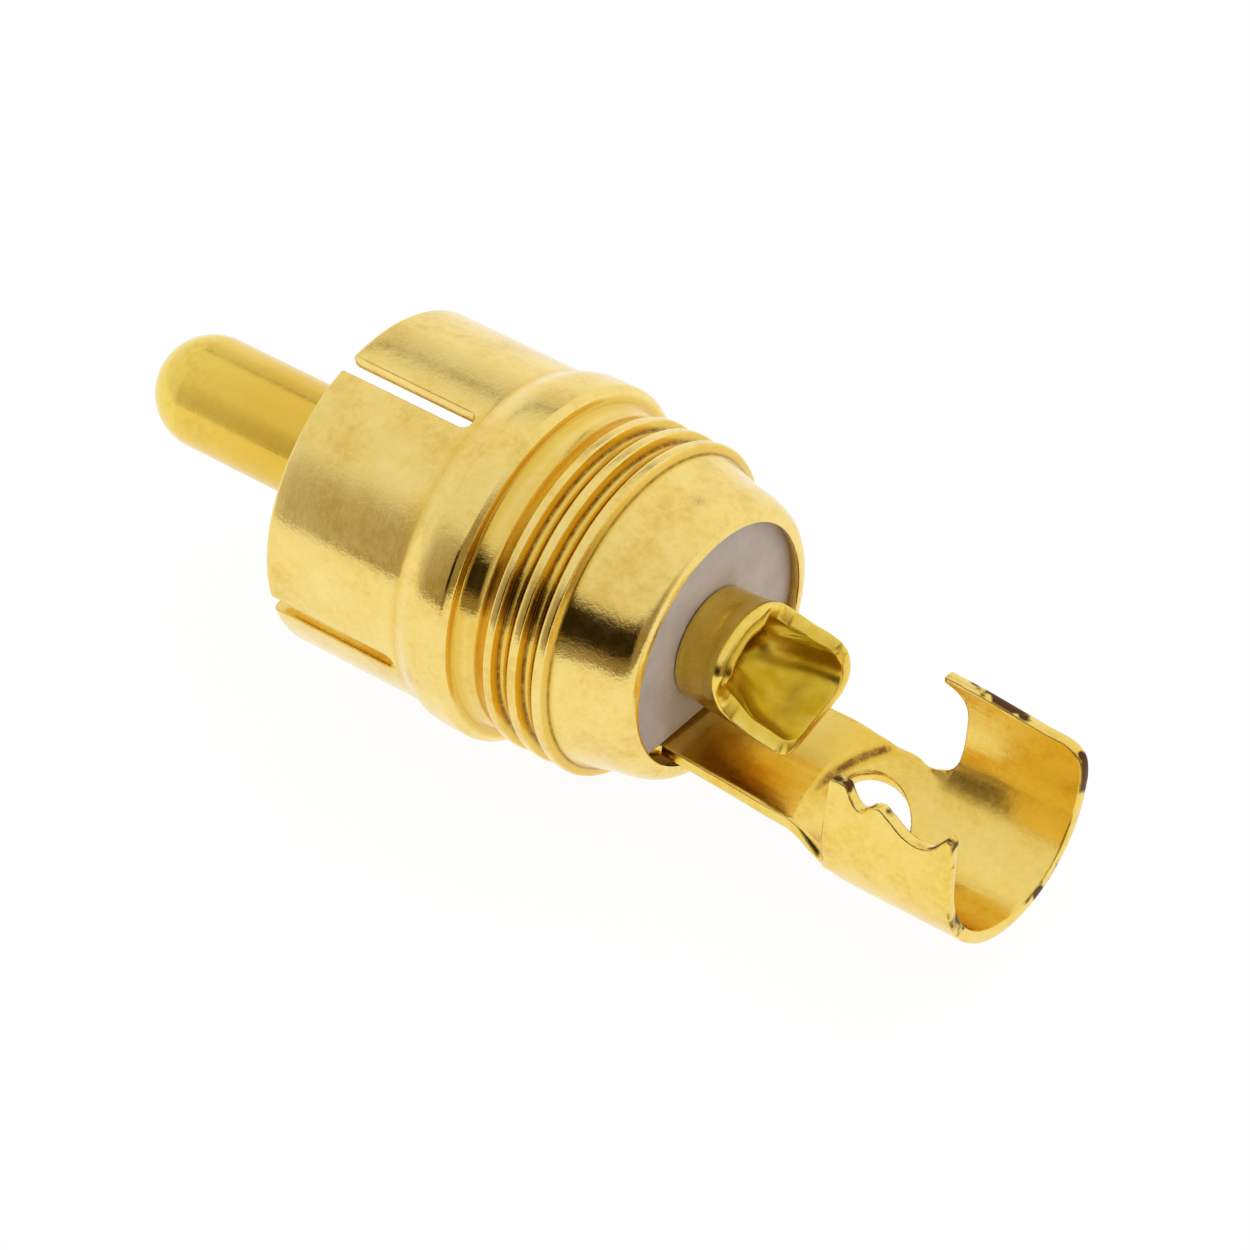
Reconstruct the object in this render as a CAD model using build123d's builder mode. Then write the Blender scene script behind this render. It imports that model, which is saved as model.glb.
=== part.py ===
from build123d import *
import math
import os

# Phono plug insert, bare of cover and cable: a slotted contact ring and threaded shell,
# a hollow centre pin in an insulating bush, and a ground lug with an open crimp barrel.
# Millimetres. X runs along the plug, from the pin's tip (-X) to the crimp barrel (+X),
# with x = 0 at the ring's front edge. The plug's axis is y = z = 0, and the lug is at -Z.

# Contact ring
ring_radius = 4.78
ring_wall = 0.50
ring_length = 4.25
ring_edge_chamfer = 0.12
slot_count = 4
slot_width = 0.53
slot_length = 4.15
slot_turn = 15.0

# Flange behind the ring
flange_height = 0.25
flange_rise = 0.85
flange_land = 0.85
flange_chamfer = 0.13
flange_wall = 0.45

# Neck and rolled thread
neck_depth = 0.23
neck_cone = 0.30
neck_length = 0.80
thread_crest_radius = 4.65
thread_depth = 0.27
thread_pitch = 0.80
thread_turns = 3
thread_crest_flat = 0.18
thread_root_flat = 0.16
thread_wall = 0.40

# Skirt and rim at the rear of the shell
skirt_drop = 0.55
skirt_slope = 0.91
skirt_length = 1.32
skirt_taper = 0.07
skirt_wall = 0.45
rim_roll = 0.55
rim_wall = 0.32
rim_lip = 0.27

# Centre pin
pin_radius = 1.5875
pin_wall = 0.30
pin_reach = 7.46
pin_bore_point = 0.75
pin_collar_height = 0.41
pin_collar_width = 0.35
pin_collar_slope = 0.15
shank_radius = 1.40

# Solder mouth: the rear end of the pin's tube pressed square, its top cut away askew
mouth_root_radius = 1.55
mouth_turn = 16.0
mouth_width = 3.15
mouth_height = 2.65
mouth_drop = 0.085
mouth_corner = 0.75
mouth_wall = 0.42
mouth_neck = 0.20
mouth_length = 2.95
mouth_cut_turn = 32.0
mouth_opening = 1.13
mouth_shoulder = 0.10
mouth_lip = 0.50

# Insulators
bush_flange = 0.55
bush_nose_wall = 0.48
bush_chamfer = 0.20
washer_thickness = 0.80
washer_flat = 2.13
fit_gap = 0.03

# Ground lug
lug_sheet = 0.35
lug_bend = 0.12
lug_seat_gap = 0.08
tang_half_width = 1.98
tang_end_half_width = 2.12
tang_drop = 2.25
tang_slope = 3.5
tang_length = 4.60
dish_depth = 0.12
channel_length = 1.71
channel_inset = 0.45
channel_depth = 1.15
floor_lead = 0.34
barrel_radius = 2.95
barrel_drop = 1.43
barrel_turn = -6.0
barrel_length = 3.68
front_skew = 0.24
rear_skew = 0.12
near_wing_wall = 1.62
far_wing_wall = 1.45
far_wing_fall = 0.23
notch_round = 0.50
barb_reach = 0.60
barb_height = 0.50
barb_slope = 0.3
wing_corner = 0.85
floor_hole_radius = 1.12
floor_hole_setback = 0.46
# Scallops in the near wing's top: setback from the barrel's front, half width, depth
scallops = [(0.78, 0.47, 0.50), (2.66, 0.88, 0.50)]

# Stations along X
flange_crest = ring_length + flange_rise
flange_back = flange_crest + flange_land + flange_chamfer
shoulder = flange_back - flange_wall
bush_front = shoulder - bush_flange
neck_front = flange_back + neck_cone
first_crest = neck_front + neck_length + thread_crest_flat / 2
last_crest = first_crest + (thread_turns - 1) * thread_pitch
thread_end = last_crest + thread_crest_flat / 2
skirt_front = thread_end + skirt_slope
skirt_bore_front = thread_end + skirt_slope / 2
shell_end = skirt_front + skirt_length
washer_back = shell_end - rim_wall
washer_front = washer_back - washer_thickness
seat_front = washer_front - lug_sheet

# Radii of the shell, outside and inside
flange_radius = ring_radius + flange_height
ring_bore = ring_radius - ring_wall
neck_radius = thread_crest_radius - neck_depth
thread_root_radius = thread_crest_radius - thread_depth
thread_bore = thread_root_radius - thread_wall
skirt_radius = thread_crest_radius - skirt_drop
skirt_bore = skirt_radius - skirt_wall
rim_radius = skirt_radius - skirt_taper
rim_opening_radius = skirt_bore - rim_lip


def thread_profile():
    """Points of the thread's crests and roots, from the first crest to the last."""
    points = []
    for turn in range(thread_turns):
        crest = first_crest + turn * thread_pitch
        if turn > 0:
            root = crest - thread_pitch / 2
            points.append((root - thread_root_flat / 2, thread_root_radius))
            points.append((root + thread_root_flat / 2, thread_root_radius))
        points.append((crest - thread_crest_flat / 2, thread_crest_radius))
        points.append((crest + thread_crest_flat / 2, thread_crest_radius))
    return points


# Outer shell: one piece, turned about the plug's axis
with BuildPart() as outer_shell:
    with BuildSketch(Plane.XZ):
        with BuildLine():
            # Ring, flare and flange
            Line((0, ring_bore), (0, ring_radius))
            Line((0, ring_radius), (ring_length, ring_radius))
            Spline(
                (ring_length, ring_radius),
                (flange_crest, flange_radius),
                tangents=[(1, 0), (1, 0)],
            )
            Polyline(
                (flange_crest, flange_radius),
                (flange_crest + flange_land, flange_radius),
                (flange_back, flange_radius - flange_chamfer),
                (flange_back, neck_radius + neck_cone),
                (neck_front, neck_radius),
            )
            # Neck and thread ridges
            Polyline((neck_front, neck_radius), *thread_profile())
            # Skirt and rolled rim
            Spline(
                (thread_end, thread_crest_radius),
                (skirt_front, skirt_radius),
                tangents=[(1, -1), (1, 0)],
            )
            Line((skirt_front, skirt_radius), (shell_end - rim_roll, rim_radius))
            RadiusArc(
                (shell_end - rim_roll, rim_radius),
                (shell_end, rim_radius - rim_roll),
                rim_roll,
            )
            # Bore, from the rim back to the ring's front edge
            Polyline(
                (shell_end, rim_radius - rim_roll),
                (shell_end, rim_opening_radius),
                (washer_back, rim_opening_radius),
                (washer_back, skirt_bore),
                (skirt_front, skirt_bore),
                (skirt_bore_front, thread_bore),
                (shoulder, thread_bore),
                (shoulder, ring_bore),
                (0, ring_bore),
            )
        make_face()
    revolve(axis=Axis.X)
    chamfer(
        outer_shell.edges().filter_by(GeomType.CIRCLE).group_by(Axis.X)[0],
        length=ring_edge_chamfer,
    )
    # Slots that part the ring into sprung fingers
    slot_end = slot_length - slot_width / 2
    for count in range(slot_count):
        slot_plane = Plane.XY.rotated((slot_turn + count * 360 / slot_count, 0, 0))
        with BuildSketch(slot_plane):
            with BuildLine():
                Polyline(
                    (slot_end, slot_width / 2),
                    (0, slot_width / 2),
                    (0, -slot_width / 2),
                    (slot_end, -slot_width / 2),
                )
                ThreePointArc(
                    (slot_end, -slot_width / 2),
                    (slot_length, 0),
                    (slot_end, slot_width / 2),
                )
            make_face()
        extrude(amount=flange_radius, mode=Mode.SUBTRACT)


# Centre pin: a drawn tube with a domed tip and a collar in front of the bush
pin_bore = pin_radius - pin_wall
shank_bore = shank_radius - pin_wall
dome_centre = pin_radius - pin_reach
collar_front = bush_front - pin_collar_width
mouth_root = washer_back + fit_gap
mouth_start = washer_back + mouth_neck
mouth_end = mouth_start + mouth_length
mouth_side = Plane.XZ.rotated((mouth_cut_turn, 0, 0))


def mouth_plane(x):
    across = Vector(0, 1, 0).rotate(Axis.X, mouth_turn)
    return Plane(origin=(x, 0, 0), x_dir=across, z_dir=(1, 0, 0))


with BuildPart() as center_pin:
    # The round tube runs out into a rounded square
    for tube_radius, wall, mode in (
        (mouth_root_radius, 0, Mode.ADD),
        (shank_bore, mouth_wall, Mode.SUBTRACT),
    ):
        with BuildSketch(mouth_plane(mouth_start)):
            Circle(tube_radius)
        with BuildSketch(mouth_plane(mouth_end)):
            with Locations((0, -mouth_drop)):
                RectangleRounded(
                    mouth_width - 2 * wall,
                    mouth_height - 2 * wall,
                    mouth_corner - wall / 2,
                )
        loft(ruled=True, mode=mode)
    # Top cut away and sides sloped down to the lip, the near side lower than the far one
    with BuildSketch(mouth_side):
        with BuildLine():
            Polyline(
                (mouth_start + mouth_opening, mouth_width),
                (mouth_start + mouth_opening, mouth_shoulder),
                (mouth_end, -mouth_lip),
                (mouth_end + mouth_length, -mouth_lip),
                (mouth_end + mouth_length, mouth_width),
                close=True,
            )
        make_face()
    extrude(amount=mouth_width, both=True, mode=Mode.SUBTRACT)
    # Tube and domed tip
    with BuildSketch(Plane.XZ):
        with BuildLine():
            CenterArc((dome_centre, 0), pin_radius, 90, 90)
            Polyline(
                (dome_centre, pin_radius),
                (collar_front, pin_radius),
                (collar_front + pin_collar_slope, pin_radius + pin_collar_height),
                (bush_front, pin_radius + pin_collar_height),
                (bush_front, shank_radius),
                (mouth_root, shank_radius),
                (mouth_root, mouth_root_radius),
                (mouth_start, mouth_root_radius),
                (mouth_start, shank_bore),
                (bush_front, shank_bore),
                (collar_front, pin_bore),
                (dome_centre, pin_bore),
                (dome_centre - pin_bore_point, 0),
                (-pin_reach, 0),
            )
        make_face()
    revolve(axis=Axis.X)


# Insulating bush: seats on the shell's inner shoulder and carries the pin
bore_radius = shank_radius + fit_gap
bush_nose_radius = bore_radius + bush_nose_wall
with BuildPart() as insulating_bush:
    with BuildSketch(Plane.XZ):
        with BuildLine():
            Polyline(
                (bush_front, bore_radius),
                (bush_front, ring_bore - fit_gap - bush_chamfer),
                (bush_front + bush_chamfer, ring_bore - fit_gap),
                (shoulder, ring_bore - fit_gap),
                (shoulder, thread_bore - fit_gap),
                (skirt_bore_front - fit_gap, thread_bore - fit_gap),
                (skirt_front - fit_gap, skirt_bore - fit_gap),
                (seat_front, skirt_bore - fit_gap),
                (seat_front, bush_nose_radius),
                (washer_front, bush_nose_radius),
                (washer_front, bore_radius),
                close=True,
            )
        make_face()
    revolve(axis=Axis.X)


# Rear washer: closes the shell behind the lug, with a flat where the tang comes out
with BuildPart() as rear_washer:
    with BuildSketch(Plane.YZ.offset(washer_front)):
        Circle(skirt_bore - fit_gap)
        with Locations((0, -washer_flat - skirt_bore)):
            Rectangle(2 * skirt_bore, 2 * skirt_bore, mode=Mode.SUBTRACT)
        Circle(bore_radius, mode=Mode.SUBTRACT)
    extrude(amount=washer_thickness)


# Ground lug: one pressed strip, with a seat ring, a bent tang and an open crimp barrel
bend_centre_x = washer_front + lug_bend
bend_centre_z = lug_bend - tang_drop
bend_outer = lug_bend + lug_sheet
tang_end = bend_centre_x + tang_length
tang_end_drop = tang_drop + tang_length * math.tan(math.radians(tang_slope))
floor_front = tang_end + channel_length
barrel_front = floor_front + floor_lead
barrel_back = barrel_front + barrel_length
barrel_bore = barrel_radius - lug_sheet
turn_cos = math.cos(math.radians(barrel_turn))
turn_sin = math.sin(math.radians(barrel_turn))


def barrel_point(side, height):
    """Point of the barrel's section, measured from its centre before it is turned."""
    return (
        side * turn_cos - height * turn_sin,
        side * turn_sin + height * turn_cos - barrel_drop,
    )


def barrel_line(radius):
    """Round floor and two straight wings, from the near wing's top to the far one's."""
    Line(barrel_point(-radius, near_wing_wall), barrel_point(-radius, 0))
    ThreePointArc(barrel_point(-radius, 0), barrel_point(0, -radius), barrel_point(radius, 0))
    Line(barrel_point(radius, 0), barrel_point(radius, far_wing_wall))


def channel_line(half_width, height, depth, turn):
    """Dished line across the strip, its ends at the given height, turned about its middle."""
    shift = half_width * math.tan(math.radians(turn))
    ThreePointArc((-half_width, height - shift), (0, height - depth), (half_width, height + shift))


def channel_section(half_width, height, depth, turn):
    """Dished band of sheet, the ends of its upper face at the given height."""
    shift = half_width * math.tan(math.radians(turn))
    channel_line(half_width, height, depth, turn)
    channel_line(half_width, height - lug_sheet, depth, turn)
    for side in (-1, 1):
        Line(
            (side * half_width, height + side * shift),
            (side * half_width, height + side * shift - lug_sheet),
        )


near_top = barrel_point(-barrel_radius, near_wing_wall)[1]
far_top = barrel_point(barrel_radius, far_wing_wall)[1]
barb_tip = barrel_front - barb_reach
below_barrel = -barrel_drop - 2 * barrel_radius
channel_half_width = barrel_radius - channel_inset
channel_top = lug_sheet - barrel_drop - math.sqrt(barrel_radius**2 - channel_half_width**2)
channel_shift = channel_half_width * math.tan(math.radians(barrel_turn))
near_sill = channel_top - channel_shift
far_sill = channel_top + channel_shift
near_front = barrel_front - front_skew
far_front = barrel_front + front_skew

with BuildPart() as ground_lug:
    # Crimp barrel, open at the top
    with BuildSketch(Plane.YZ.offset(barb_tip)):
        with BuildLine():
            barrel_line(barrel_radius)
            barrel_line(barrel_bore)
            for side, wall in ((-1, near_wing_wall), (1, far_wing_wall)):
                Line(
                    barrel_point(side * barrel_radius, wall),
                    barrel_point(side * barrel_bore, wall),
                )
        make_face()
    extrude(amount=barrel_back + rear_skew - barb_tip)
    # Rear end, cut a little askew
    with BuildSketch(Plane.XY.offset(below_barrel)):
        with BuildLine():
            Polyline(
                (barrel_back - rear_skew, -barrel_radius),
                (barrel_back + rear_skew, barrel_radius),
                (barrel_back + barrel_length, 2 * barrel_radius),
                (barrel_back + barrel_length, -2 * barrel_radius),
                close=True,
            )
        make_face()
    extrude(amount=near_top - below_barrel + barrel_radius, mode=Mode.SUBTRACT)
    # Front edge of the near wing
    with BuildSketch(Plane.XZ):
        with BuildLine():
            Polyline(
                (barb_tip - barb_reach, near_top + barrel_radius),
                (barb_tip - barb_reach, below_barrel),
                (floor_front, below_barrel),
                (floor_front, near_sill),
                (near_front, near_sill),
                (near_front, near_top + barrel_radius),
                close=True,
            )
        make_face()
    extrude(amount=2 * barrel_radius, mode=Mode.SUBTRACT)
    # Front edge of the far wing, with a rounded notch below and a barb at the top
    with BuildSketch(Plane.XZ):
        with BuildLine():
            Polyline(
                (barb_tip, far_top),
                (barb_tip - barb_reach, far_top),
                (barb_tip - barb_reach, below_barrel),
                (floor_front, below_barrel),
                (floor_front, far_sill),
                (far_front - notch_round, far_sill),
            )
            RadiusArc(
                (far_front - notch_round, far_sill),
                (far_front, far_sill + notch_round),
                -notch_round,
            )
            Line((far_front, far_sill + notch_round), (far_front, far_top - barb_height))
            Spline(
                (far_front, far_top - barb_height),
                (barb_tip, far_top),
                tangents=[(0, 1), (-1, barb_slope)],
            )
        make_face()
    extrude(amount=-2 * barrel_radius, mode=Mode.SUBTRACT)
    # Scallops between the teeth of the near wing
    with BuildSketch(Plane.XZ):
        for setback, half_width, depth in scallops:
            scallop_radius = (half_width**2 + depth**2) / (2 * depth)
            with Locations((barrel_front + setback, near_top - depth + scallop_radius)):
                Circle(scallop_radius)
    extrude(amount=2 * barrel_radius, mode=Mode.SUBTRACT)
    # Top edge of the far wing, falling to a rounded rear corner
    rear_top = far_top - far_wing_fall
    rear_end = barrel_back + rear_skew
    with BuildSketch(Plane.XZ):
        with BuildLine():
            Polyline(
                (rear_end - wing_corner, rear_top),
                (barrel_front, far_top),
                (barrel_front, far_top + barrel_radius),
                (rear_end + wing_corner, far_top + barrel_radius),
                (rear_end + wing_corner, rear_top - wing_corner),
                (rear_end, rear_top - wing_corner),
            )
            RadiusArc(
                (rear_end, rear_top - wing_corner),
                (rear_end - wing_corner, rear_top),
                -wing_corner,
            )
        make_face()
    extrude(amount=-2 * barrel_radius, mode=Mode.SUBTRACT)
    # Channel that deepens from the flat tang into the barrel's round floor
    with BuildSketch(Plane.YZ.offset(tang_end)):
        with BuildLine():
            channel_section(tang_end_half_width, -tang_end_drop, dish_depth, 0)
        make_face()
    with BuildSketch(Plane.YZ.offset(floor_front)):
        with BuildLine():
            channel_section(channel_half_width, channel_top, channel_depth, barrel_turn)
        make_face()
    loft(ruled=True)
    # Hole through the channel's floor
    with BuildSketch(Plane.XY.offset(below_barrel)):
        with Locations((floor_front - floor_hole_setback, 0)):
            Circle(floor_hole_radius)
    extrude(amount=-below_barrel - tang_drop / 2, mode=Mode.SUBTRACT)
    # Seat ring, clamped between the bush and the rear washer
    with BuildSketch(Plane.YZ.offset(seat_front)):
        Circle(skirt_bore - lug_seat_gap)
        with Locations((0, bend_centre_z - skirt_bore)):
            Rectangle(2 * skirt_bore, 2 * skirt_bore, mode=Mode.SUBTRACT)
        Circle(bush_nose_radius + fit_gap, mode=Mode.SUBTRACT)
    extrude(amount=lug_sheet)
    # Bend out of the ring and the flat of the tang, drawn as a side view
    with BuildSketch(Plane.XZ):
        with BuildLine():
            CenterArc((bend_centre_x, bend_centre_z), lug_bend, 180, 90)
            CenterArc((bend_centre_x, bend_centre_z), bend_outer, 180, 90)
            Line(
                (bend_centre_x - lug_bend, bend_centre_z),
                (bend_centre_x - bend_outer, bend_centre_z),
            )
            Polyline(
                (bend_centre_x, bend_centre_z - lug_bend),
                (tang_end, -tang_end_drop),
                (tang_end, -tang_end_drop - lug_sheet),
                (bend_centre_x, bend_centre_z - bend_outer),
            )
        make_face()
    extrude(amount=tang_half_width, both=True)


pieces = {
    "outer_shell": outer_shell,
    "center_pin": center_pin,
    "insulating_bush": insulating_bush,
    "rear_washer": rear_washer,
    "ground_lug": ground_lug,
}
os.makedirs("parts", exist_ok=True)
for name, piece in pieces.items():
    piece.part.label = name
    export_step(piece.part, "parts/" + name + ".step")
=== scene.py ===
# Looks of a bare phono plug: gold plated shell, hollow centre pin with a pressed solder
# mouth, grey rear washer, white bush, and a pressed ground lug with an open crimp barrel.
# Sizes are in millimetres and angles in degrees until a mesh is made, which is in metres.
# X runs along the plug, from the pin's tip to the crimp barrel; the axis is y = z = 0.
import math

import bmesh
import bpy
from mathutils import Matrix, Vector, noise


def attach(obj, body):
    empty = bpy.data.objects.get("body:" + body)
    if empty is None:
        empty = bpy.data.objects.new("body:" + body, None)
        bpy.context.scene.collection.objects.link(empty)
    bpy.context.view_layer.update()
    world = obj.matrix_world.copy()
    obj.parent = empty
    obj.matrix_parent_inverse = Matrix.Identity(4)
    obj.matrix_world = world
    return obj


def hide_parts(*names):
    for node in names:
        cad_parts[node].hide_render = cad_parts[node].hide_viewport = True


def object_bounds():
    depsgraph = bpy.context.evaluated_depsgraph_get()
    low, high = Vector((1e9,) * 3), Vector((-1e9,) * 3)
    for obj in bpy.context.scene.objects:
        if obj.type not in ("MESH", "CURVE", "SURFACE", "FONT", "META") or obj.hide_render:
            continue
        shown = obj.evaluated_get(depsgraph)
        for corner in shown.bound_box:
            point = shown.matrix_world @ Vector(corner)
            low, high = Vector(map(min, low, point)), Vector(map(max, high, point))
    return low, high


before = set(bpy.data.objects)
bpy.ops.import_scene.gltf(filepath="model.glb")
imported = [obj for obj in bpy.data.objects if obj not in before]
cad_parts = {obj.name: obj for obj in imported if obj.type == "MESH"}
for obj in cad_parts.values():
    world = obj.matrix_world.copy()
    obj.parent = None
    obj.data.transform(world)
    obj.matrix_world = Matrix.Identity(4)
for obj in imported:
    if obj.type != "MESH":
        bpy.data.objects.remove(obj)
cad_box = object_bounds()

MM = 0.001
QUARTER = math.pi / 2

# Contact ring and its slots
ring_radius = 4.78
ring_bore = 4.28
ring_edge = 0.12
slot_count = 4
slot_width = 0.53
slot_length = 4.15
slot_turn = 15.0
slot_edge = 0.045
finger_steps = 72

# Shell behind the ring
flange_radius = 5.03
flange_back = 6.08
neck_radius = 4.41
crest_radius = 4.66
root_radius = 4.37
first_crest = 7.24
thread_pitch = 0.80
skirt_radius = 4.10
rim_radius = 4.03
rim_opening = 3.38
shell_end = 11.19
washer_back = 10.87
washer_front = 10.07
skirt_bore = 3.65
thread_bore = 3.98
shoulder = 5.63

# Centre pin and its solder mouth
pin_radius = 1.5875
pin_reach = 7.46
pin_bore = 1.29
collar_radius = 2.0
collar_front = 4.73
bush_front = 5.08
shank_radius = 1.40
shank_bore = 1.10
mouth_root_radius = 1.55
mouth_turn = 16.0
mouth_start = 11.07
mouth_end = 14.02
mouth_width = 3.15
mouth_height = 2.65
mouth_drop = 0.085
mouth_corner = 0.75
mouth_wall = 0.42
mouth_cut_turn = 32.0
lip_flare = 0.05
lip_thinning = 0.12
# Share of a rougher finish and painted olive shade on the outside of the mouth's tube
tube_dull_and_shade = 0.4
throat_flare = 0.15
lip_crease = 0.85
lip_crease_place = 0.45
lip_crease_width = 0.25
lip_unevenness = 0.2
lip_steps = 14
mouth_steps = 18
mouth_dents = 0.05
mouth_dent_scale = 1.3
pinch_start = 11.5
pinch_end = 13.1
pinch_bore = 0.30
# Rim left where the mouth's top is cut away: x, and height in the cut's own turned frame
mouth_rim = [
    (12.12, 1.60),
    (12.20, 0.80),
    (12.32, 0.36),
    (12.55, 0.08),
    (13.05, -0.17),
    (13.55, -0.27),
    (13.88, -0.42),
    (14.02, -0.72),
]

# Insulators
washer_radius = 3.62
washer_flat = 2.13
washer_bore = 1.43
washer_edge = 0.07
bush_nose_radius = 1.91

# Ground lug, as a flat blank that is bent into shape
lug_sheet = 0.35
lug_edge = 0.06
lug_bend = 0.12
lug_ring_radius = 3.57
lug_ring_bore = 1.94
tang_drop = 2.25
tang_slope = 3.5
tang_half_width = 1.98
barrel_bore = 2.60
barrel_drop = 1.43
barrel_turn = -6.0
channel_start = 14.70
channel_end = 17.00
channel_bow = 0.12
channel_steepness = 1.2
crease_depth = 0.05
crease_width = 0.13
# Levels of painted shade in the crease and of painted reflection, a deeper yellow, ahead of it on
# the far side
crease_shade_level = 0.85
far_reflection_level = 0.13
tang_curve = 0.05
turn_start = 13.9
turn_end = 15.7
wing_foot = 2.2
wing_root = 3.1
near_front = 16.60
far_front = 17.08
barrel_back = 20.52
near_wall = 1.62
far_wall = 1.45
hole_centre = (15.93, 0.42)
hole_along = 0.93
hole_across = 1.20
blank_step = 0.12

# Bend, in 1/mm, at which a groove counts as fully hollow
hollow_bend = 8.0

# Camera of the photograph
view_azimuth = -52.199
view_elevation = 40.187
view_distance = 157.01
view_right = 6.403
view_up = -3.905
view_lens = 171.19

# Floor and studio light: the cards stand round a point on the axis
floor_gap = 0.02
floor_size = 3000
floor_tone = 0.09
floor_glow = 0.94
card_middle = 5
card_columns = 60
card_rows = 24
world_near = 0.88
world_far = 1.0


def blend(a, b, share):
    return a + (b - a) * share


def ease(value, start, end):
    """Smooth step from 0 at start to 1 at end."""
    share = min(1.0, max(0.0, (value - start) / (end - start)))
    return share * share * (3 - 2 * share)


def rounded(corners, steps=6):
    """Line through corners given as (x, r, rounding), each corner turned in a smooth curve."""
    line = []
    for index, (x, r, rounding) in enumerate(corners):
        corner = Vector((x, r))
        if rounding == 0 or index in (0, len(corners) - 1):
            line.append(corner)
            continue
        before = Vector(corners[index - 1][:2]) - corner
        after = Vector(corners[index + 1][:2]) - corner
        start = corner + before.normalized() * min(rounding, before.length / 2)
        end = corner + after.normalized() * min(rounding, after.length / 2)
        for step in range(steps + 1):
            share = step / steps
            line.append(start.lerp(corner, share).lerp(corner.lerp(end, share), share))
    return line


def along_points(points, x):
    """Value at x on a line of (x, value) points."""
    for (x_a, value_a), (x_b, value_b) in zip(points, points[1:]):
        if x <= x_b:
            return blend(value_a, value_b, max(0.0, x - x_a) / (x_b - x_a))
    return points[-1][1]


def arc(centre, radius, start, end, steps):
    """Points on an arc, angles in degrees from the first axis towards the second."""
    angles = [math.radians(blend(start, end, step / steps)) for step in range(steps + 1)]
    return [
        Vector((centre[0] + radius * math.cos(a), centre[1] + radius * math.sin(a)))
        for a in angles
    ]


class Surface:
    """Points and faces of one piece, in millimetres, and how far each point is on a cut edge, which
    on the pin is its share of painted olive shade.
    """

    def __init__(self):
        self.points = []
        self.faces = []
        self.cut_and_shade_shares = []
        self.hollows = []

    def row(self, points):
        first = len(self.points)
        self.points.extend(points)
        return list(range(first, len(self.points)))

    def bridge(self, one, other, closed=False):
        """Faces between two rows of as many points."""
        pairs = list(zip(one, other))
        if closed:
            pairs.append(pairs[0])
        for (a, b), (c, d) in zip(pairs, pairs[1:]):
            self.faces.append((a, c, d, b))

    def sweep(self, rows, closed=False):
        """Faces along a list of rows of points."""
        indices = [self.row(points) for points in rows]
        for one, other in zip(indices, indices[1:]):
            self.bridge(one, other, closed)
        return indices


def polar(x, radius, angle):
    return Vector((x, radius * math.cos(angle), radius * math.sin(angle)))


def full_turn(turn, steps):
    """Evenly spaced angles all round, from turn in degrees."""
    return [math.radians(turn) + 2 * math.pi * step / steps for step in range(steps)]


def lathe(surface, line, angles):
    """Surface of revolution of a line of (x, radius) about the plug's axis."""
    rows = [[polar(x, radius, angle) for angle in angles] for x, radius in line]
    return surface.sweep(rows, closed=True)


def mark_hollows(work, layer):
    """Stores how hollow the surface is at each point, from 0 on a flat to 1 in a sharp groove,
    which the gold follows with painted reflection and painted shade.
    """
    work.normal_update()
    for vertex in work.verts:
        bends = []
        for edge in vertex.link_edges:
            step = edge.other_vert(vertex).co - vertex.co
            bends.append(2 * step.dot(vertex.normal) / max(step.length_squared, 1e-12) * MM)
        vertex[layer] = min(1.0, max(0.0, sum(bends) / max(1, len(bends)) / hollow_bend))
    around = [
        max([vertex[layer]] + [0.7 * e.other_vert(vertex)[layer] for e in vertex.link_edges])
        for vertex in work.verts
    ]
    for vertex, value in zip(work.verts, around):
        vertex[layer] = value


def make_piece(name, surface, materials, node, sharp=38.0, turned_part=False):
    """Mesh object of a surface, smooth but for its sharp edges, standing for a CAD node."""
    mesh = bpy.data.meshes.new(name)
    mesh.from_pydata([point * MM for point in surface.points], [], surface.faces)
    for label, values in (("cut", surface.cut_and_shade_shares), ("hollow", surface.hollows)):
        if values:
            mesh.attributes.new(label, "FLOAT", "POINT").data.foreach_set("value", values)
    work = bmesh.new()
    work.from_mesh(mesh)
    bmesh.ops.remove_doubles(work, verts=work.verts, dist=0.0005 * MM)
    bmesh.ops.dissolve_degenerate(work, edges=work.edges, dist=0.0001 * MM)
    bmesh.ops.recalc_face_normals(work, faces=work.faces)
    if turned_part:
        mark_hollows(work, work.verts.layers.float.new("hollow"))
    work.to_mesh(mesh)
    work.free()
    mesh.shade_smooth()
    mesh.set_sharp_from_angle(angle=math.radians(sharp))
    for material in materials:
        mesh.materials.append(material)
    piece = bpy.data.objects.new(name, mesh)
    bpy.context.scene.collection.objects.link(piece)
    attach(piece, "root")
    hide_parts(node)
    return piece


# Shell


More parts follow.
